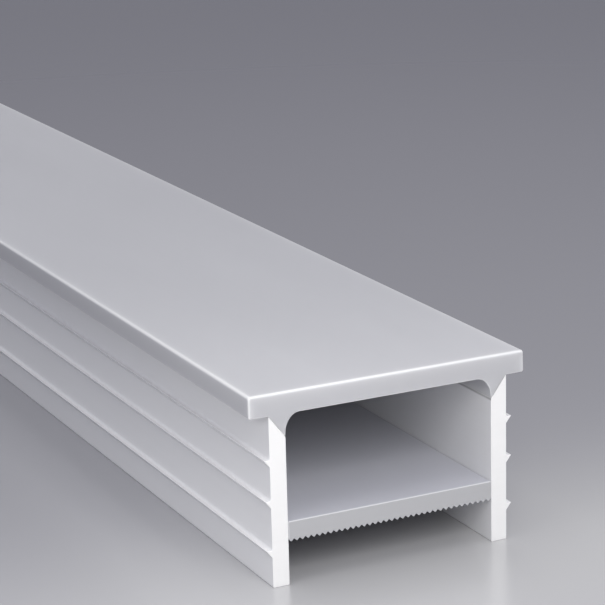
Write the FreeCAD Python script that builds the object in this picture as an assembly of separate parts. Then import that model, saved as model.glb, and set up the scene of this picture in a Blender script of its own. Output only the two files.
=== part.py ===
"""One metre of co-extruded silicone channel for an LED strip.

The channel is a T in section. A light-spreading cap lies on two side walls and
overhangs them. Between the walls a shelf carries the strip. Barbs on the outside
of the walls grip the groove that the channel is pressed into, until the overhang
of the cap seats on the groove's edges.

Frame: millimetres. X runs across the section, Y along the length and Z up. The
origin is on the plane of the wall feet, at the middle of the width and length.
"""
import FreeCAD, Part
import math
import os

# ---------------------------------------------------------------- driving sizes
LENGTH = 1000.0

# Cap
CAP_OVERHANG = 1.35         # beyond the outer face of each wall
CAP_THICKNESS = 1.5
CAP_EDGE_RADIUS = 0.2       # rounding of the cap's outer edges, ends included

# Haunches: where the cap comes down inside the walls and bonds to their slanted tops
HAUNCH_DROP = 1.5           # from the cap's underside to the haunch's tip
HAUNCH_REACH = 1.0          # from the wall's inner face inwards along the cap's underside

# Side walls
CAVITY_WIDTH = 15.0         # clear width between the walls, which the strip lies in
WALL_THICKNESS = 1.15
WALL_HEIGHT = 11.5          # from the feet to the cap's underside

# Barbs on the walls' outer faces
BARB_DROPS = (2.85, 5.6, 8.95)  # from the cap's underside down to each barb's tip
BARB_REACH = 0.4            # how far a tip stands out from the wall
BARB_RISE = 0.06            # how far a tip stands above the root of the barb's upper face
BARB_TAPER = 0.5            # from a tip down to the root of the barb's lower face

# Shelf
SHELF_HEIGHT = 4.3          # from the feet to the shelf's top, which the strip is stuck to
SHELF_THICKNESS = 1.4       # from the shelf's top to the tips of its teeth
TOOTH_PITCH = 0.405         # wanted spacing of the teeth under the shelf
TOOTH_ANGLE = 90.0          # angle of each V, in degrees
SHELF_END_BEVEL = 0.12      # bevel down both sides of the shelf's end faces

# ---------------------------------------------------------------- sizes that follow
INNER_X = CAVITY_WIDTH / 2
OUTER_X = INNER_X + WALL_THICKNESS
CAP_X = OUTER_X + CAP_OVERHANG
CAP_TOP_Z = WALL_HEIGHT + CAP_THICKNESS
HAUNCH_TIP_Z = WALL_HEIGHT - HAUNCH_DROP
NEAR_Y = -LENGTH / 2
SAME_PLACE = 1e-6           # two coordinates this close are the same


def point(x, z):
    """A point of the section, in the plane of the near end."""
    return FreeCAD.Vector(x, NEAR_Y, z)


def line(start, end):
    return Part.LineSegment(start, end).toShape()


def polyline(points):
    """Straight edges from each point to the next."""
    return [line(start, end) for start, end in zip(points, points[1:])]


def extrude(edges):
    """A closed outline in the plane of the near end, carried over the whole length."""
    outline = Part.Wire(Part.sortEdges(edges)[0])
    return Part.Face(outline).extrude(FreeCAD.Vector(0, LENGTH, 0))


# ---------------------------------------------------------------- cap
def haunch_curve(side):
    """Quarter of an ellipse from the haunch's tip up to the cap's underside.

    It leaves the wall's inner face upright and runs level into the underside.
    """
    crown_x = side * (INNER_X - HAUNCH_REACH)
    centre = point(crown_x, HAUNCH_TIP_Z)
    tip = point(side * INNER_X, HAUNCH_TIP_Z)
    crown = point(crown_x, WALL_HEIGHT)
    major, minor = (crown, tip) if HAUNCH_DROP > HAUNCH_REACH else (tip, crown)
    return Part.ArcOfEllipse(Part.Ellipse(major, minor, centre), 0, math.pi / 2).toShape()


def rounded_edges(solid):
    """The top edges of the cap, all round, and the upright ones of its two ends."""
    found = []
    for edge in solid.Edges:
        box = edge.BoundBox
        on_top = box.ZMin > CAP_TOP_Z - SAME_PLACE
        upright = box.ZLength > SAME_PLACE and box.XLength < SAME_PLACE
        if on_top or (upright and abs(box.XMin) > CAP_X - SAME_PLACE):
            found.append(edge)
    return found


def build_diffuser_cap():
    haunch_x = INNER_X - HAUNCH_REACH
    edges = polyline([
        point(-OUTER_X, WALL_HEIGHT), point(-CAP_X, WALL_HEIGHT), point(-CAP_X, CAP_TOP_Z),
        point(CAP_X, CAP_TOP_Z), point(CAP_X, WALL_HEIGHT), point(OUTER_X, WALL_HEIGHT),
    ])
    edges.append(line(point(-haunch_x, WALL_HEIGHT), point(haunch_x, WALL_HEIGHT)))
    for side in (-1, 1):
        edges.append(line(point(side * OUTER_X, WALL_HEIGHT), point(side * INNER_X, HAUNCH_TIP_Z)))
        edges.append(haunch_curve(side))
    solid = extrude(edges)
    return solid.makeFillet(CAP_EDGE_RADIUS, rounded_edges(solid))


# ---------------------------------------------------------------- side walls
def barb_points(drop):
    """Upper root, tip and lower root of one barb, as distances out of the wall and heights."""
    tip_z = WALL_HEIGHT - drop
    return [(0.0, tip_z - BARB_RISE), (BARB_REACH, tip_z), (0.0, tip_z - BARB_TAPER)]


def build_side_wall(side):
    """side is -1 for the wall on the -X side and 1 for the other."""
    outline = [(OUTER_X, WALL_HEIGHT)]
    for drop in BARB_DROPS:
        outline += [(OUTER_X + out, z) for out, z in barb_points(drop)]
    outline += [(OUTER_X, 0.0), (INNER_X, 0.0), (INNER_X, HAUNCH_TIP_Z), (OUTER_X, WALL_HEIGHT)]
    return extrude(polyline([point(side * x, z) for x, z in outline]))


# ---------------------------------------------------------------- shelf
def tooth_points():
    """The serrated underside from the +X wall to the -X wall, starting and ending in a valley."""
    count = round(CAVITY_WIDTH / TOOTH_PITCH)
    pitch = CAVITY_WIDTH / count
    tip_z = SHELF_HEIGHT - SHELF_THICKNESS
    valley_z = tip_z + pitch / 2 / math.tan(math.radians(TOOTH_ANGLE / 2))
    points = [point(INNER_X, valley_z)]
    for tooth in range(count):
        points.append(point(INNER_X - (tooth + 0.5) * pitch, tip_z))
        points.append(point(INNER_X - (tooth + 1) * pitch, valley_z))
    return points


def end_bevel(side, end):
    """The wedge cut off one upright edge of one of the shelf's ends."""
    corner = FreeCAD.Vector(side * INNER_X, end * LENGTH / 2, 0)
    wedge = Part.makePolygon([
        corner,
        corner + FreeCAD.Vector(-side * SHELF_END_BEVEL, 0, 0),
        corner + FreeCAD.Vector(0, -end * SHELF_END_BEVEL, 0),
        corner,
    ])
    return Part.Face(wedge).extrude(FreeCAD.Vector(0, 0, SHELF_HEIGHT))


def build_strip_shelf():
    top = [point(-INNER_X, SHELF_HEIGHT), point(INNER_X, SHELF_HEIGHT)]
    underside = tooth_points()
    solid = extrude(polyline(top + underside + top[:1]))
    return solid.cut([end_bevel(side, end) for side in (-1, 1) for end in (-1, 1)])


# ---------------------------------------------------------------- output
def main():
    pieces = {
        "diffuser_cap": build_diffuser_cap(),
        "left_side_wall": build_side_wall(-1),
        "right_side_wall": build_side_wall(1),
        "strip_shelf": build_strip_shelf(),
    }
    os.makedirs("parts", exist_ok=True)
    for name, shape in pieces.items():
        solid = shape.Solids[0]
        if len(shape.Solids) != 1 or not solid.isValid():
            raise ValueError(f"{name} is not one valid solid")
        solid.exportStep(f"parts/{name}.step")
        print(name, "volume %.1f mm3" % solid.Volume)


main()
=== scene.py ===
"""One metre of silicone channel for an LED strip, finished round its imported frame.

Four silicones show at the cut end: a satin light-spreading cap, two opaque white walls with
barbs, and a grey shelf with fine teeth underneath. Each is an extrusion, so each is one
outline carried along the length, with every edge softened as moulded silicone's edges are.

Frame: metres. X runs across the section, Y along the length and Z up, with the feet at 0.
"""
import math
from typing import NamedTuple
import bpy
import numpy as np
from bpy.props import FloatProperty, FloatVectorProperty, IntProperty, PointerProperty
from mathutils import Matrix, Vector
from mathutils.geometry import delaunay_2d_cdt


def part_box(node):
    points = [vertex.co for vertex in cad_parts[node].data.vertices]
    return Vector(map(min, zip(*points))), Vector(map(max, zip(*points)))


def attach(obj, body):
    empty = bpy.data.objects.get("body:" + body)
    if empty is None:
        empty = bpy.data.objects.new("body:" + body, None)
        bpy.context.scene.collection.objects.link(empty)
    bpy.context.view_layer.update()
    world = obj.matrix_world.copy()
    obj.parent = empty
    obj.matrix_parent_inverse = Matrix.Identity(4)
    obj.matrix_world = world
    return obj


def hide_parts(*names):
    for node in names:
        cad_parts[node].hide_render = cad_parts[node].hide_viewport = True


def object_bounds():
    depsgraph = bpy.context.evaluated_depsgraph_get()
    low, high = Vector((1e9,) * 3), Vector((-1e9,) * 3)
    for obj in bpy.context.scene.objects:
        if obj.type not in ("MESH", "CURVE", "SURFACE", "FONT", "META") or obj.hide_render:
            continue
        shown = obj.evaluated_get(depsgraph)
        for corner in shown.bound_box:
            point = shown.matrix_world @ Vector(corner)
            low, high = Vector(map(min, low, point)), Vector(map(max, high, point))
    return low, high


bl_info = {
    "name": "Silicone LED Channel",
    "version": (1, 0, 0),
    "blender": (4, 5, 0),
    "location": "3D View > Sidebar > LED Channel",
    "description": "Makes the soft-edged pieces, finishes and studio of a silicone LED channel",
    "category": "Object",
}

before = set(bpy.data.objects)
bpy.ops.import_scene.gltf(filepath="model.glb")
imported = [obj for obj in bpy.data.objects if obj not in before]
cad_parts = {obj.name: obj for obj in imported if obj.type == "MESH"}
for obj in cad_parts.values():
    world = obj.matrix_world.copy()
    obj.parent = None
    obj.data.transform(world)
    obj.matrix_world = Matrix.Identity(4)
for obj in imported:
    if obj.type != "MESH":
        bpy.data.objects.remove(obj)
CAD_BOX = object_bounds()

MM = 0.001
SAME_PLACE = 1e-9           # two points this close are the same
BODY = "root"
NEAR_Y = CAD_BOX[0].y
FAR_Y = CAD_BOX[1].y
CAP_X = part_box("diffuser_cap")[1].x
CAP_TOP_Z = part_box("diffuser_cap")[1].z
HAUNCH_TIP_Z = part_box("diffuser_cap")[0].z
BARB_TIP_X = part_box("right_side_wall")[1].x
INNER_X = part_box("right_side_wall")[0].x
WALL_TOP_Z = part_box("right_side_wall")[1].z
SHELF_TOP_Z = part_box("strip_shelf")[1].z
SHELF_TIP_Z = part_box("strip_shelf")[0].z

# Softenings of single corners, as shares of the fine softening
TIP_SHARE = 2.0             # the haunches' tips and the walls' corners under them
TIP_CLEARANCE = 3.0         # from a tip up to where the haunch's inside curve ends
UNDERSIDE_END_SHARE = 2.0   # end edges of the cap's underside, inside and under the overhang
KNIFE_SHARE = 0.4           # end edges that the knife left sharper
TOOTH_END_SHARE = 0.6       # end edges of the teeth
OVERHANG_SHARE = 0.6        # the overhang's lower edge, as a share of the cap's softening
END_LIMIT = 0.88            # most that an end's softening takes of a corner's radius

# Patterns of the silicones: sizes of their features along X, Y and Z
DIE_LINES = (0.35 * MM, 90 * MM, 0.35 * MM)
KNIFE_STROKES = (6 * MM, 6 * MM, 0.22 * MM)
CLOUD = (7 * MM, 24 * MM, 7 * MM)
GRAIN = (0.07 * MM, 0.07 * MM, 0.07 * MM)

# How strongly each pattern shows
MOTTLE = 0.07               # range of lightness
CLOUD_SHARE = 0.6           # the cloud's share of it, the rest being lines and strokes
STROKE_GLOSS = 0.12         # range of roughness that the lines and strokes make
CLOUD_GLOSS = 0.08          # range of roughness that the cloud makes
STROKE_RELIEF = 0.7         # the lines' and strokes' share of the relief, the rest being grain
RELIEF_STRENGTH = 0.35
RELIEF_DEPTH = 0.012 * MM
SILICONE_IOR = 1.41

# Painted light in the cap's thin parts, and painted shade in the groove under a haunch's tip
EDGE_PAINTED_GLOW = 0.65            # share of the edges' colour in the glow beside them
TIP_PAINTED_GLOW = 0.9              # the same in the haunches' thin tips
TIP_PAINTED_GLOW_CUT_LOSS = 0.55    # how much of the tips' glow a cut end lacks
TIP_PAINTED_GLOW_REACH = 1.5        # as a multiple of the edges' glow's reach
GROOVE_SHADE = 0.5          # how much of the light the groove holds back
GROOVE_REACH = 0.07 * MM

# Studio. Places are measured from the near end, at floor level
FLOOR_HALF = 8.0
FLOOR_LEVEL = -0.01 * MM    # just clear of the feet
FLOOR_ROUGHNESS = 0.24
FLOOR_COAT = 0.5
# Painted pools of light in the floor's colour, paler round the near end
WIDE_PAINTED_POOL = (17.5 * MM, 0.0, 0.0)
WIDE_PAINTED_POOL_REACH = (170 * MM, 170 * MM)
SMALL_PAINTED_POOL = (12.2 * MM, -3.2 * MM, 0.0)
SMALL_PAINTED_POOL_REACH = (43.5 * MM, 15.1 * MM)
TOP_PLACE = (0.0, 0.5, 0.8)
TOP_SIZE = (0.6, 1.6)
KEY_PLACE = (-9 * MM, -54 * MM, 41 * MM)
KEY_SIZE = (40 * MM, 40 * MM)
SIDE_PLACE = (-45 * MM, -10 * MM, 21 * MM)
SIDE_SIZE = (30 * MM, 30 * MM)
TOP_TINT = (1.0, 0.99, 0.93)
NEAR_TINT = (1.0, 0.99, 0.965)
AMBIENT_TINT = (0.908, 0.912, 1.0)
SENSOR_WIDTH = 36.0         # millimetres, as the lens is
CLIP_START = 10 * MM


def length(name, description, default):
    """A size of the model, in metres."""
    return FloatProperty(name=name, description=description, default=default, min=0.0, unit="LENGTH")


def angle(name, description, degrees):
    """An angle of the model or the camera."""
    default = math.radians(degrees)
    return FloatProperty(name=name, description=description, default=default, subtype="ANGLE")


def colour(name, description, default):
    """A colour of the model, as linear red, green and blue."""
    return FloatVectorProperty(
        name=name, description=description, default=default, size=3, min=0.0, max=1.0, subtype="COLOR"
    )


# ---------------------------------------------------------------- settings
class ChannelSizes(bpy.types.PropertyGroup):
    """Sizes of the section that the frame's boxes don't give."""

    haunch_reach: length("Haunch reach", "From a wall's inner face along the cap's underside", 1.0 * MM)
    barb_reach: length("Barb reach", "How far a barb's tip stands out from the wall", 0.4 * MM)
    barb_rise: length("Barb rise", "How far a tip stands above its upper root", 0.06 * MM)
    barb_taper: length("Barb taper", "From a tip down to its lower root", 0.5 * MM)
    barb_root: length("Barb root", "How far the softening of a barb's upper root reaches", 0.2 * MM)
    barb_drops: FloatVectorProperty(
        name="Barb drops", description="From the walls' tops down to each barb's tip",
        default=(2.85 * MM, 5.6 * MM, 8.95 * MM), size=3, unit="LENGTH",
    )
    tooth_pitch: length("Tooth pitch", "Wanted spacing of the teeth under the shelf", 0.405 * MM)
    tooth_angle: angle("Tooth angle", "Angle of each V under the shelf", 90)
    cap_softening: length("Cap softening", "Radius of the cap's outer edges", 0.2 * MM)
    fine_softening: length(
        "Fine softening", "How far the softening of every other edge reaches", 0.05 * MM
    )
    shelf_softening: length("Shelf softening", "Radius of the edges at the shelf's ends", 0.09 * MM)
    joint_gap: length("Joint gap", "Width of the joint between two silicones", 0.008 * MM)
    curve_steps: IntProperty(
        name="Curve steps", description="Facets in each softened edge", default=10, min=2
    )
    stretches: IntProperty(
        name="Stretches", description="Lengths that each piece is divided into", default=20
    )


class ChannelFinish(bpy.types.PropertyGroup):
    """Colours of the silicones, and of the painted highlights along their softened edges."""

    cap: colour("Cap", "Satin light-spreading silicone", (0.517, 0.520, 0.542))
    cap_cut: colour(
        "Cap's cut ends", "The light-spreading silicone where it was cut", (0.502, 0.505, 0.525)
    )
    # painted highlight: paler colour along the cap's softened edges, standing in for light caught there
    cap_painted_highlight: colour("Cap edges", "Where light gathers in the cap's thin edges", (0.72, 0.722, 0.73))
    wall: colour("Walls", "Opaque white silicone", (0.806, 0.808, 0.82))
    wall_cut: colour("Walls' cut ends", "The white silicone where it was cut", (0.837, 0.837, 0.835))
    # painted highlight along the walls' softened edges
    wall_painted_highlight: colour("Wall edges", "The walls' thin edges", (0.88, 0.88, 0.885))
    shelf: colour("Shelf", "Grey silicone", (0.545, 0.551, 0.603))
    shelf_cut: colour("Shelf's cut ends", "The grey silicone where it was cut", (0.44, 0.443, 0.457))
    # painted highlight along the shelf's softened edges
    shelf_painted_highlight: colour("Shelf edges", "The shelf's softened edges", (0.60, 0.605, 0.625))


class ChannelStudio(bpy.types.PropertyGroup):
    """Floor, lamps and camera. Places are measured from the near end, at floor level."""

    # colours of the painted pools of light on the floor
    floor_small_painted_pool: colour("Floor at the near end", "Floor's small pale pool", (0.506, 0.506, 0.514))
    floor_wide_painted_pool: colour("Floor around", "Floor's wide pool round the near end", (0.360, 0.360, 0.384))
    floor_far: colour("Floor far off", "Floor further off, and the backdrop", (0.196, 0.196, 0.225))
    ambient: FloatProperty(name="Ambient", description="Soft light from all round", default=0.63)
    top_light: FloatProperty(
        name="Top light", description="Watts of the long softbox overhead", default=3.3
    )
    key_light: FloatProperty(
        name="Key light", description="Watts of the softbox at the near end", default=0.0322
    )
    side_light: FloatProperty(
        name="Side light", description="Watts of the softbox beside it", default=0.0035
    )
    lens: FloatProperty(name="Lens", description="Focal length on a 36 mm sensor", default=137.9)
    distance: length("Distance", "From the camera to the point it looks at", 150.1 * MM)
    azimuth: angle("Azimuth", "Turn of the view from +Y towards +X", 25.83)
    elevation: angle("Elevation", "How far the camera looks down", 15.58)
    roll: angle("Roll", "Turn of the camera about its own axis", -1.5)
    aim: FloatVectorProperty(
        name="Aim", description="The point that the camera looks at",
        default=(-3.6 * MM, 5.1 * MM, 17.0 * MM), size=3, subtype="TRANSLATION",
    )


class ChannelSettings(bpy.types.PropertyGroup):
    """All the settings of the channel."""

    sizes: PointerProperty(type=ChannelSizes)
    finish: PointerProperty(type=ChannelFinish)
    studio: PointerProperty(type=ChannelStudio)


# ---------------------------------------------------------------- shapes
class Corner(NamedTuple):
    """A corner of an outline, in metres.

    before and after say how far its softening reaches along its two edges, and end_before and
    end_after how far the end edge is softened there. painted_highlight is how pale the painted
    highlight makes it, from 0 to 1.
    """

    x: float
    z: float
    before: float
    after: float
    end_before: float
    end_after: float
    painted_highlight: float


def even_corner(x, z, reach, end, painted_highlight=0.0):
    """A corner with the same softening before and after it."""
    return Corner(x, z, reach, reach, end, end, painted_highlight)


def mirrored(outline):
    """The outline on the other side of the middle, still anticlockwise."""
    return [
        Corner(-x, z, after, before, end_after, end_before, painted_highlight)
        for x, z, before, after, end_before, end_after, painted_highlight in reversed(outline)
    ]


def softened_outline(corners, before, after, steps):
    """A closed outline whose corners are arcs of circles or ellipses.

    The corners run anticlockwise. With a and b the steps from a corner c to the points that lie
    `before` and `after` along its two edges, and w the sine of half its inside angle, the curve
    is c + ((1 - s)^2 a + s^2 b) / ((1 - s)^2 + 2 w s (1 - s) + s^2), as s goes from 0 to 1.
    That is a circle's arc where both reaches are equal, and an ellipse's in a square corner.
    Returns the points, their outward normals, s, and the arcs' radii, infinite where hollow.
    """
    back = np.roll(corners, 1, axis=0) - corners
    ahead = np.roll(corners, -1, axis=0) - corners
    back /= np.linalg.norm(back, axis=1, keepdims=True)
    ahead /= np.linalg.norm(ahead, axis=1, keepdims=True)
    cosine = np.sum(back * ahead, axis=1)
    hollow = ahead[:, 0] * back[:, 1] < ahead[:, 1] * back[:, 0]
    radii = np.where(hollow, np.inf, before * np.sqrt((1 - cosine) / (1 + cosine)))
    a = (back * before[:, None])[:, None]
    b = (ahead * after[:, None])[:, None]
    weight = np.sqrt((1 - cosine) / 2)[:, None, None]
    share = np.linspace(0, 1, steps + 1)
    s = share[None, :, None]
    over = (1 - s) ** 2 * a + s ** 2 * b
    under = (1 - s) ** 2 + 2 * weight * s * (1 - s) + s ** 2
    over_rate = 2 * s * b - 2 * (1 - s) * a
    under_rate = 2 * s - 2 * (1 - s) + 2 * weight * (1 - 2 * s)
    along = over_rate * under - over * under_rate
    normals = np.stack([along[..., 1], -along[..., 0]], axis=-1)
    normals /= np.linalg.norm(normals, axis=-1, keepdims=True)
    points = corners[:, None] + over / under
    return points.reshape(-1, 2), normals.reshape(-1, 2), np.tile(share, len(corners)), radii


def carried_outline(points, normals, end_softening, steps, stretches):
    """An outline carried from the near end to the far end, with rounded end edges.

    At turn t, from 0 on the sides to a right angle on an end face, a point has moved inwards
    along its normal by r (1 - cos t) and stands r (1 - sin t) inside the end, with r its end
    softening. Returns arrays of stations by points: places, normals and t's sine.
    """
    turn = np.linspace(np.pi / 2, 0, steps + 1)
    middle = np.zeros(stretches - 1)
    turns = np.concatenate([turn, middle, turn[::-1]])[:, None]
    run = np.linspace(0, 1, stretches + 1)[1:-1]
    along = np.concatenate([np.zeros(steps + 1), run, np.ones(steps + 1)])[:, None]
    inset = end_softening * (1 - np.cos(turns))
    inside = end_softening * (1 - np.sin(turns))
    near = NEAR_Y + inside
    far = FAR_Y - inside
    y = near + (far - near) * along
    towards_end = np.sign(along - 0.5)
    places = np.stack([
        points[:, 0] - normals[:, 0] * inset,
        y,
        points[:, 1] - normals[:, 1] * inset,
    ], axis=-1)
    facing = np.stack([
        normals[:, 0] * np.cos(turns),
        np.broadcast_to(towards_end * np.sin(turns), y.shape),
        normals[:, 1] * np.cos(turns),
    ], axis=-1)
    return places, facing, np.broadcast_to(np.sin(turns), y.shape)


def end_triangles(ring):
    """Triangles that fill a ring of points, as corners' numbers, anticlockwise as the ring is."""
    across = [Vector((x, z)) for x, _, z in ring]
    triangles_inside = 1
    found = delaunay_2d_cdt(across, [], [list(range(len(ring)))], triangles_inside, SAME_PLACE)
    first_corner = np.array([corners[0] for corners in found[3]])
    return first_corner[np.array(found[2])]


def closed_bar(name, places, facing, attributes):
    """A mesh of quads between the stations and triangles over each end, all facing outwards."""
    stations, count, _ = places.shape
    index = np.arange(stations * count).reshape(stations, count)
    ahead = np.roll(index, -1, axis=1)
    quads = np.stack([index[:-1], index[1:], ahead[1:], ahead[:-1]], axis=-1).reshape(-1, 4)
    triangles = end_triangles(places[0])
    near_end = index[0][triangles]
    far_end = index[-1][triangles[:, ::-1]]
    faces = quads.tolist() + near_end.tolist() + far_end.tolist()
    mesh = bpy.data.meshes.new(name)
    mesh.from_pydata(places.reshape(-1, 3).tolist(), [], faces)
    for label, values in attributes.items():
        layer = mesh.attributes.new(label, "FLOAT", "POINT")
        layer.data.foreach_set("value", np.ascontiguousarray(values, dtype=np.float32).ravel())
    mesh.polygons.foreach_set("use_smooth", np.ones(len(faces), dtype=bool))
    mesh.normals_split_custom_set_from_vertices(facing.reshape(-1, 3).tolist())
    mesh.update()
    return mesh


def extruded_piece(name, outline, material, node):
    """Makes one silicone from its outline of corners, in place of its CAD node.

    Round each corner the end softening and the painted highlight change with the arc's share s:
    the softening goes evenly from end_before to end_after, and the painted highlight is the
    corner's painted_highlight times sin(pi s). On the rounded end edges the painted highlight is
    twice the sine times the cosine of the turn.
    """
    sizes = bpy.context.scene.led_channel.sizes
    steps = sizes.curve_steps
    x, z, before, after, end_before, end_after, painted_highlight = np.array(outline, float).T
    points, normals, share, radii = softened_outline(np.stack([x, z], axis=1), before, after, steps)
    first, last = np.repeat(np.minimum([end_before, end_after], END_LIMIT * radii), steps + 1, axis=1)
    end_softening = first * (1 - share) + last * share
    places, facing, end_share = carried_outline(points, normals, end_softening, steps, sizes.stretches)
    side_painted_highlight = np.repeat(painted_highlight, steps + 1) * np.sin(share * np.pi)
    end_painted_highlight = 2 * end_share * np.sqrt(1 - end_share ** 2)
    # painted highlight: paler along the softened side edges and round the end edges
    attributes = {"painted_highlight": 1 - (1 - side_painted_highlight * (1 - end_share)) * (1 - end_painted_highlight), "cut_end": end_share}
    mesh = closed_bar(name, places, facing, attributes)
    mesh.materials.append(material)
    piece = bpy.data.objects.new(name, mesh)
    bpy.context.scene.collection.objects.link(piece)
    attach(piece, BODY)
    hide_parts(node)


# ---------------------------------------------------------------- finishes
class Socket:
    """A node's output. Python's operators on it add Math nodes, and number - socket works too."""

    def __init__(self, tree, output):
        self.tree = tree
        self.output = output

    def math(self, operation, *values):
        return self.tree.node("ShaderNodeMath", {"operation": operation}, dict(enumerate(values)))

    def __add__(self, other):
        return self.math("ADD", self, other)

    def __sub__(self, other):
        return self.math("SUBTRACT", self, other)

    def __mul__(self, other):
        return self.math("MULTIPLY", self, other)

    def __rsub__(self, other):
        return self.math("SUBTRACT", other, self)

    def __truediv__(self, other):
        return self.math("DIVIDE", self, other)

    __radd__ = __add__
    __rmul__ = __mul__


class Tree:
    """The nodes of one material, world or lamp."""

    def __init__(self, owner):
        owner.use_nodes = True
        self.nodes = owner.node_tree.nodes
        self.links = owner.node_tree.links
        self.nodes.clear()

    def node(self, kind, settings=None, inputs=None, output=0):
        """Adds a node, sets its settings, then gives its sockets their values or links."""
        made = self.nodes.new(kind)
        for key, value in (settings or {}).items():
            setattr(made, key, value)
        for key, value in (inputs or {}).items():
            if isinstance(value, Socket):
                self.links.new(value.output, made.inputs[key])
            else:
                made.inputs[key].default_value = value
        return Socket(self, made.outputs[output]) if made.outputs else None

    def vector(self, operation, inputs, output=0):
        """One step of arithmetic on positions or colours."""
        return self.node("ShaderNodeVectorMath", {"operation": operation}, inputs, output)

    def noise(self, position, features, detail):
        """Smooth noise from 0 to 1, with features of the given sizes along X, Y and Z."""
        repeats = tuple(1 / size for size in features)
        stretched = self.vector("MULTIPLY", {0: position, 1: repeats})
        inputs = {"Vector": stretched, "Scale": 1.0, "Detail": detail}
        return self.node("ShaderNodeTexNoise", None, inputs)

    def blend(self, share, start, end):
        """The colour start where share is 0 and end where it is 1.

        A Mix node holds its sockets for numbers first, so those for colours are 6, 7 and 2.
        """
        colours = {"Factor": share, 6: start, 7: end}
        return self.node("ShaderNodeMix", {"data_type": "RGBA"}, colours, output=2)

    def axes(self, position, names):
        """The numbers of a position along the named axes."""
        return [self.node("ShaderNodeSeparateXYZ", None, {0: position}, axis) for axis in names]


def rgba(linear):
    """A colour setting with an alpha of 1, as a socket takes it."""
    return (*linear, 1.0)


def cap_painted_glow(tree, position, cut, reach):
    """Painted glow near the cap's outer edges, and where the haunches run out to a thin tip.

    It is exp(-d / reach), with d the distance from the nearest outer edge or up from the tip,
    where the reach is longer and a cut end shows less. On a face of the cap one of the distances
    to its top, side and end is nothing, so the middle one of the three is the distance to the
    nearest edge.
    """
    x, y, z = tree.axes(position, "XYZ")
    from_side = CAP_X - x.math("ABSOLUTE", x)
    from_end = FAR_Y - y.math("ABSOLUTE", y)
    from_top = CAP_TOP_Z - z
    nearer = from_side.math("MINIMUM", from_side, from_end)
    further = from_side.math("MAXIMUM", from_side, from_end)
    middle = nearer.math("MAXIMUM", nearer, further.math("MINIMUM", further, from_top))
    edges = middle.math("EXPONENT", middle / -reach)
    from_tip = (z - HAUNCH_TIP_Z) / (TIP_PAINTED_GLOW_REACH * reach)
    tips = from_tip.math("EXPONENT", from_tip * -1.0) * (1 - TIP_PAINTED_GLOW_CUT_LOSS * cut)
    return edges.math("MAXIMUM", edges * EDGE_PAINTED_GLOW, tips * TIP_PAINTED_GLOW)


def joint_shade(tree, position, cut):
    """Shade in the groove inside the channel, where a haunch's tip meets the wall.

    It is exp(-(d / reach)^2), with d the distance up or down from just below the tip, on the inner
    faces alone.
    """
    x, z = tree.axes(position, "XZ")
    inner = x.math("LESS_THAN", x.math("ABSOLUTE", x), INNER_X + GROOVE_REACH)
    away = (z - (HAUNCH_TIP_Z - 0.5 * GROOVE_REACH)) / GROOVE_REACH
    return away.math("EXPONENT", away * away * -1.0) * inner * (1 - cut) * GROOVE_SHADE


def silicone(name, skin, cut_tone, painted_highlight, roughness, scatter, scatter_depth, painted_glow_reach=0.0, groove_shaded=False):
    """Satin silicone: faint die lines along the length, a fine matt grain, and thin edges made paler by a
    painted highlight.

    Die lines are noise drawn out along Y. On a cut end they give way to the knife's own faint
    strokes, which are noise drawn out along X and Y, and the skin's colour gives way to the cut
    tone. With a broad cloud they change lightness and roughness, as much up as down from where
    the noise is a half. With the grain they make the relief.
    """
    material = bpy.data.materials.new(name)
    tree = Tree(material)
    position = tree.node("ShaderNodeTexCoord", output="Object")
    edge = tree.node("ShaderNodeAttribute", {"attribute_name": "painted_highlight"}, output="Fac")
    cut = tree.node("ShaderNodeAttribute", {"attribute_name": "cut_end"}, output="Fac")
    die_lines = tree.noise(position, DIE_LINES, detail=3.0)
    knife_strokes = tree.noise(position, KNIFE_STROKES, detail=3.0)
    cloud = tree.noise(position, CLOUD, detail=2.0)
    grain = tree.noise(position, GRAIN, detail=2.0)
    if painted_glow_reach:
        # painted glow near the cap's edges and at the haunches' tips, added to the painted highlight
        edge = edge.math("MAXIMUM", edge, cap_painted_glow(tree, position, cut, painted_glow_reach))
    strokes = die_lines * (1 - cut) + knife_strokes * cut
    lightness = (cloud * CLOUD_SHARE + strokes * (1 - CLOUD_SHARE)) * MOTTLE + (1 - MOTTLE / 2)
    # painted shade: the colour darkens in the groove where a haunch's tip meets the wall
    if groove_shaded:
        lightness = lightness * (1 - joint_shade(tree, position, cut))
    body = tree.blend(cut, rgba(skin), rgba(cut_tone))
    mottled = tree.vector("SCALE", {0: body, "Scale": lightness})
    # edge holds the painted highlight, and on the cap the painted glow; the base colour turns pale where
    # it is high
    base = tree.blend(edge, mottled, rgba(painted_highlight))
    smoothest = roughness - (STROKE_GLOSS + CLOUD_GLOSS) / 2
    gloss = strokes * STROKE_GLOSS + cloud * CLOUD_GLOSS + smoothest
    relief = strokes * STROKE_RELIEF + grain * (1 - STROKE_RELIEF)
    bump = tree.node("ShaderNodeBump", None, {
        "Strength": RELIEF_STRENGTH,
        "Distance": RELIEF_DEPTH,
        "Height": relief,
    })
    shader = tree.node("ShaderNodeBsdfPrincipled", {"subsurface_method": "RANDOM_WALK"}, {
        "Base Color": base,
        "Roughness": gloss,
        "Normal": bump,
        "IOR": SILICONE_IOR,
        "Subsurface Weight": scatter,
        "Subsurface Radius": (1.0, 1.0, 1.0),
        "Subsurface Scale": scatter_depth,
    })
    tree.node("ShaderNodeOutputMaterial", None, {"Surface": shader})
    return material


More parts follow.
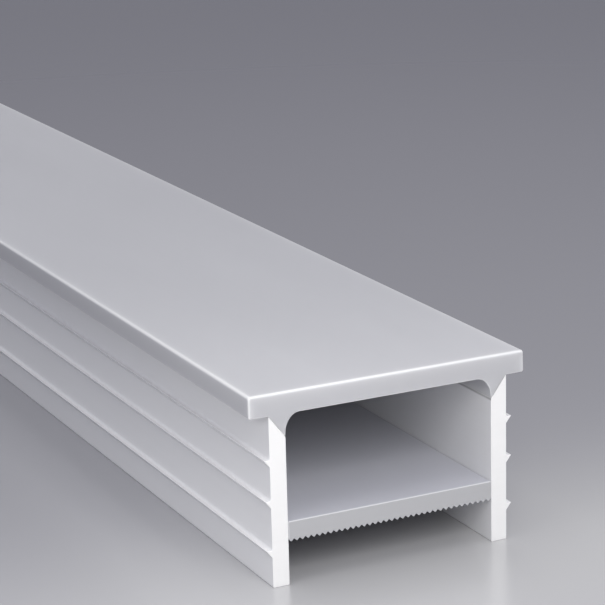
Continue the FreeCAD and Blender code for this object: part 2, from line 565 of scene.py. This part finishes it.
# ---------------------------------------------------------------- pieces
class CHANNEL_OT_diffuser_cap(bpy.types.Operator):
    """Make the light-spreading cap with its two haunches"""

    bl_idname = "led_channel.diffuser_cap"
    bl_label = "Diffuser cap"

    def execute(self, context):
        settings = context.scene.led_channel
        sizes, finish = settings.sizes, settings.finish
        wide, fine, gap = sizes.cap_softening, sizes.fine_softening, sizes.joint_gap
        outer_x = BARB_TIP_X - sizes.barb_reach
        curve_drop = WALL_TOP_Z - HAUNCH_TIP_Z - TIP_CLEARANCE * fine
        underside_end, tip_end = UNDERSIDE_END_SHARE * fine, KNIFE_SHARE * fine
        lower = OVERHANG_SHARE * wide
        right = [
            Corner(INNER_X, WALL_TOP_Z, sizes.haunch_reach, curve_drop, underside_end, tip_end, 0.0),
            even_corner(INNER_X, HAUNCH_TIP_Z + gap, TIP_SHARE * fine, fine, painted_highlight=1.0),
            even_corner(outer_x, WALL_TOP_Z + gap, fine, fine),
            Corner(CAP_X, WALL_TOP_Z + gap, lower, lower, underside_end, wide, 1.0),
            even_corner(CAP_X, CAP_TOP_Z, wide, wide, painted_highlight=1.0),
        ]
        material = silicone(
            "satin_diffuser_silicone", finish.cap, finish.cap_cut, finish.cap_painted_highlight,
            roughness=0.42, scatter=1.0, scatter_depth=0.45 * MM, painted_glow_reach=0.28 * MM,
        )
        outline = right + mirrored(right)
        extruded_piece("satin_cap", outline, material, "diffuser_cap")
        return {"FINISHED"}


class CHANNEL_OT_side_walls(bpy.types.Operator):
    """Make the two white side walls with their barbs"""

    bl_idname = "led_channel.side_walls"
    bl_label = "Side walls"

    def execute(self, context):
        settings = context.scene.led_channel
        sizes, finish = settings.sizes, settings.finish
        fine = sizes.fine_softening
        outer_x = BARB_TIP_X - sizes.barb_reach
        end = KNIFE_SHARE * fine
        right = [
            even_corner(outer_x, WALL_TOP_Z, fine, end),
            even_corner(INNER_X, HAUNCH_TIP_Z, TIP_SHARE * fine, end),
            even_corner(INNER_X, 0.0, fine, end),
            even_corner(outer_x, 0.0, fine, end),
        ]
        for drop in reversed(sizes.barb_drops[:]):
            tip_z = WALL_TOP_Z - drop
            right += [
                even_corner(outer_x, tip_z - sizes.barb_taper, fine, end),
                even_corner(BARB_TIP_X, tip_z, fine, end),
                even_corner(outer_x, tip_z - sizes.barb_rise, sizes.barb_root, end),
            ]
        material = silicone(
            "white_wall_silicone", finish.wall, finish.wall_cut, finish.wall_painted_highlight,
            roughness=0.46, scatter=0.2, scatter_depth=0.3 * MM, groove_shaded=True,
        )
        extruded_piece("right_barbed_wall", right, material, "right_side_wall")
        extruded_piece("left_barbed_wall", mirrored(right), material, "left_side_wall")
        return {"FINISHED"}


class CHANNEL_OT_strip_shelf(bpy.types.Operator):
    """Make the grey shelf that the strip is stuck to, with its fine teeth underneath"""

    bl_idname = "led_channel.strip_shelf"
    bl_label = "Strip shelf"

    def execute(self, context):
        settings = context.scene.led_channel
        sizes, finish = settings.sizes, settings.finish
        fine, soft = sizes.fine_softening, sizes.shelf_softening
        side_x = INNER_X - sizes.joint_gap
        count = round(2 * INNER_X / sizes.tooth_pitch)
        pitch = 2 * side_x / count
        valley_z = SHELF_TIP_Z + pitch / 2 / math.tan(sizes.tooth_angle / 2)
        tooth_end = TOOTH_END_SHARE * fine
        outline = [even_corner(-side_x, valley_z, fine, soft)]
        for tooth in range(count):
            tip_x = -side_x + (tooth + 0.5) * pitch
            valley_x = -side_x + (tooth + 1) * pitch
            outline.append(even_corner(tip_x, SHELF_TIP_Z, fine, tooth_end))
            outline.append(even_corner(valley_x, valley_z, fine, tooth_end))
        outline.append(even_corner(side_x, SHELF_TOP_Z, soft, soft))
        outline.append(even_corner(-side_x, SHELF_TOP_Z, soft, soft))
        material = silicone(
            "grey_shelf_silicone", finish.shelf, finish.shelf_cut, finish.shelf_painted_highlight,
            roughness=0.5, scatter=0.15, scatter_depth=0.2 * MM,
        )
        extruded_piece("toothed_shelf", outline, material, "strip_shelf")
        return {"FINISHED"}


# ---------------------------------------------------------------- studio
def from_near_end(place):
    """A place measured from the near end, as one in the frame."""
    return Vector(place) + Vector((0, NEAR_Y, 0))


def pool(tree, position, centre, reach):
    """Share of a painted pool of light on the floor: exp(-r^2), with r the distance over the floor from a
    centre, in reaches along X and Y.
    """
    offset = tree.vector("SUBTRACT", {0: position, 1: from_near_end(centre)})
    scaled = tree.vector("MULTIPLY", {0: offset, 1: (1 / reach[0], 1 / reach[1], 0.0)})
    squared = tree.vector("DOT_PRODUCT", {0: scaled, 1: scaled}, "Value")
    return squared.math("EXPONENT", squared * -1.0)


def studio_floor(studio):
    """A level floor, greyer far off, with painted light: paler in a wide and a small soft pool at the
    near end.
    """
    mesh = bpy.data.meshes.new("studio_floor")
    signs = ((-1, -1), (1, -1), (1, 1), (-1, 1))
    corners = [(x * FLOOR_HALF, y * FLOOR_HALF, FLOOR_LEVEL) for x, y in signs]
    mesh.from_pydata(corners, [], [(0, 1, 2, 3)])
    material = bpy.data.materials.new("studio_paper")
    tree = Tree(material)
    position = tree.node("ShaderNodeTexCoord", output="Object")
    # painted pools of light: wide and small say how far each pool lightens the floor's colour
    wide = pool(tree, position, WIDE_PAINTED_POOL, WIDE_PAINTED_POOL_REACH)
    small = pool(tree, position, SMALL_PAINTED_POOL, SMALL_PAINTED_POOL_REACH)
    around = tree.blend(wide, rgba(studio.floor_far), rgba(studio.floor_wide_painted_pool))
    tone = tree.blend(small, around, rgba(studio.floor_small_painted_pool))
    shader = tree.node("ShaderNodeBsdfPrincipled", None, {
        "Base Color": tone,
        "Roughness": FLOOR_ROUGHNESS,
        "Coat Weight": FLOOR_COAT,
        "Coat Roughness": FLOOR_ROUGHNESS,
    })
    tree.node("ShaderNodeOutputMaterial", None, {"Surface": shader})
    mesh.materials.append(material)
    floor = bpy.data.objects.new("studio_floor", mesh)
    bpy.context.scene.collection.objects.link(floor)


def softbox(name, place, target, size, watts, tint, mirrored_in_gloss):
    """A rectangular lamp at a place, pointed at a target, both measured from the near end."""
    lamp = bpy.data.lights.new(name, "AREA")
    lamp.shape = "RECTANGLE"
    lamp.size, lamp.size_y = size
    lamp.energy = watts
    lamp.color = tint
    holder = bpy.data.objects.new(name, lamp)
    holder.location = from_near_end(place)
    holder.rotation_euler = (Vector(target) - Vector(place)).to_track_quat("-Z", "Y").to_euler()
    holder.visible_camera = False
    holder.visible_glossy = mirrored_in_gloss
    bpy.context.scene.collection.objects.link(holder)


def studio_world(studio):
    """Even light from all round. The camera and reflections see the backdrop's own colour."""
    world = bpy.data.worlds.new("studio_air")
    bpy.context.scene.world = world
    tree = Tree(world)
    camera, glossy, through = (
        tree.node("ShaderNodeLightPath", output=name)
        for name in ("Is Camera Ray", "Is Glossy Ray", "Is Transmission Ray")
    )
    seen = camera + glossy + through
    shown = seen.math("MINIMUM", seen, 1.0)
    air = {"Color": rgba(AMBIENT_TINT), "Strength": studio.ambient}
    light = tree.node("ShaderNodeBackground", None, air)
    far = {"Color": rgba(studio.floor_far), "Strength": 1.0}
    backdrop = tree.node("ShaderNodeBackground", None, far)
    both = tree.node("ShaderNodeMixShader", None, {0: shown, 1: light, 2: backdrop})
    tree.node("ShaderNodeOutputWorld", None, {"Surface": both})


def studio_camera(studio):
    """A camera that looks along the azimuth and down by the elevation, then rolls."""
    azimuth, elevation = studio.azimuth, studio.elevation
    level = math.cos(elevation)
    forward = Vector((math.sin(azimuth) * level, math.cos(azimuth) * level, -math.sin(elevation)))
    sideways = Vector((math.cos(azimuth), -math.sin(azimuth), 0.0))
    upright = sideways.cross(forward)
    axis_x = sideways * math.cos(studio.roll) + upright * math.sin(studio.roll)
    axis_y = upright * math.cos(studio.roll) - sideways * math.sin(studio.roll)
    turned = Matrix((axis_x, axis_y, -forward)).transposed()
    data = bpy.data.cameras.new("studio_camera")
    data.lens = studio.lens
    data.sensor_width = SENSOR_WIDTH
    data.clip_start = CLIP_START
    camera = bpy.data.objects.new("studio_camera", data)
    place = from_near_end(studio.aim) - forward * studio.distance
    camera.matrix_world = Matrix.Translation(place) @ turned.to_4x4()
    bpy.context.scene.collection.objects.link(camera)
    bpy.context.scene.camera = camera


class CHANNEL_OT_studio(bpy.types.Operator):
    """Set up the floor, the soft lamps and the camera"""

    bl_idname = "led_channel.studio"
    bl_label = "Studio"

    def execute(self, context):
        studio = context.scene.led_channel.studio
        context.scene.view_settings.view_transform = "Standard"
        studio_floor(studio)
        studio_world(studio)
        studio_camera(studio)
        straight_down = (TOP_PLACE[0], TOP_PLACE[1], 0.0)
        near_end = (0.0, 0.0, 0.0)
        softbox("top_softbox", TOP_PLACE, straight_down, TOP_SIZE, studio.top_light, TOP_TINT, True)
        softbox("key_softbox", KEY_PLACE, near_end, KEY_SIZE, studio.key_light, NEAR_TINT, False)
        softbox("side_softbox", SIDE_PLACE, near_end, SIDE_SIZE, studio.side_light, NEAR_TINT, False)
        return {"FINISHED"}


# ---------------------------------------------------------------- add-on
class CHANNEL_PT_sidebar(bpy.types.Panel):
    """Settings and steps of the channel"""

    bl_label = "LED Channel"
    bl_idname = "CHANNEL_PT_sidebar"
    bl_space_type = "VIEW_3D"
    bl_region_type = "UI"
    bl_category = "LED Channel"

    def draw(self, context):
        settings = context.scene.led_channel
        for group in (settings.sizes, settings.finish, settings.studio):
            box = self.layout.box()
            for key in group.__annotations__:
                box.prop(group, key)
        for operator in OPERATORS:
            self.layout.operator(operator.bl_idname)


OPERATORS = (
    CHANNEL_OT_diffuser_cap,
    CHANNEL_OT_side_walls,
    CHANNEL_OT_strip_shelf,
    CHANNEL_OT_studio,
)
CLASSES = (ChannelSizes, ChannelFinish, ChannelStudio, ChannelSettings, *OPERATORS, CHANNEL_PT_sidebar)


def register():
    for item in CLASSES:
        bpy.utils.register_class(item)
    bpy.types.Scene.led_channel = PointerProperty(type=ChannelSettings)


def unregister():
    del bpy.types.Scene.led_channel
    for item in reversed(CLASSES):
        bpy.utils.unregister_class(item)


def main():
    register()
    bpy.ops.led_channel.diffuser_cap()
    bpy.ops.led_channel.side_walls()
    bpy.ops.led_channel.strip_shelf()
    bpy.ops.led_channel.studio()


if __name__ == "__main__":
    main()
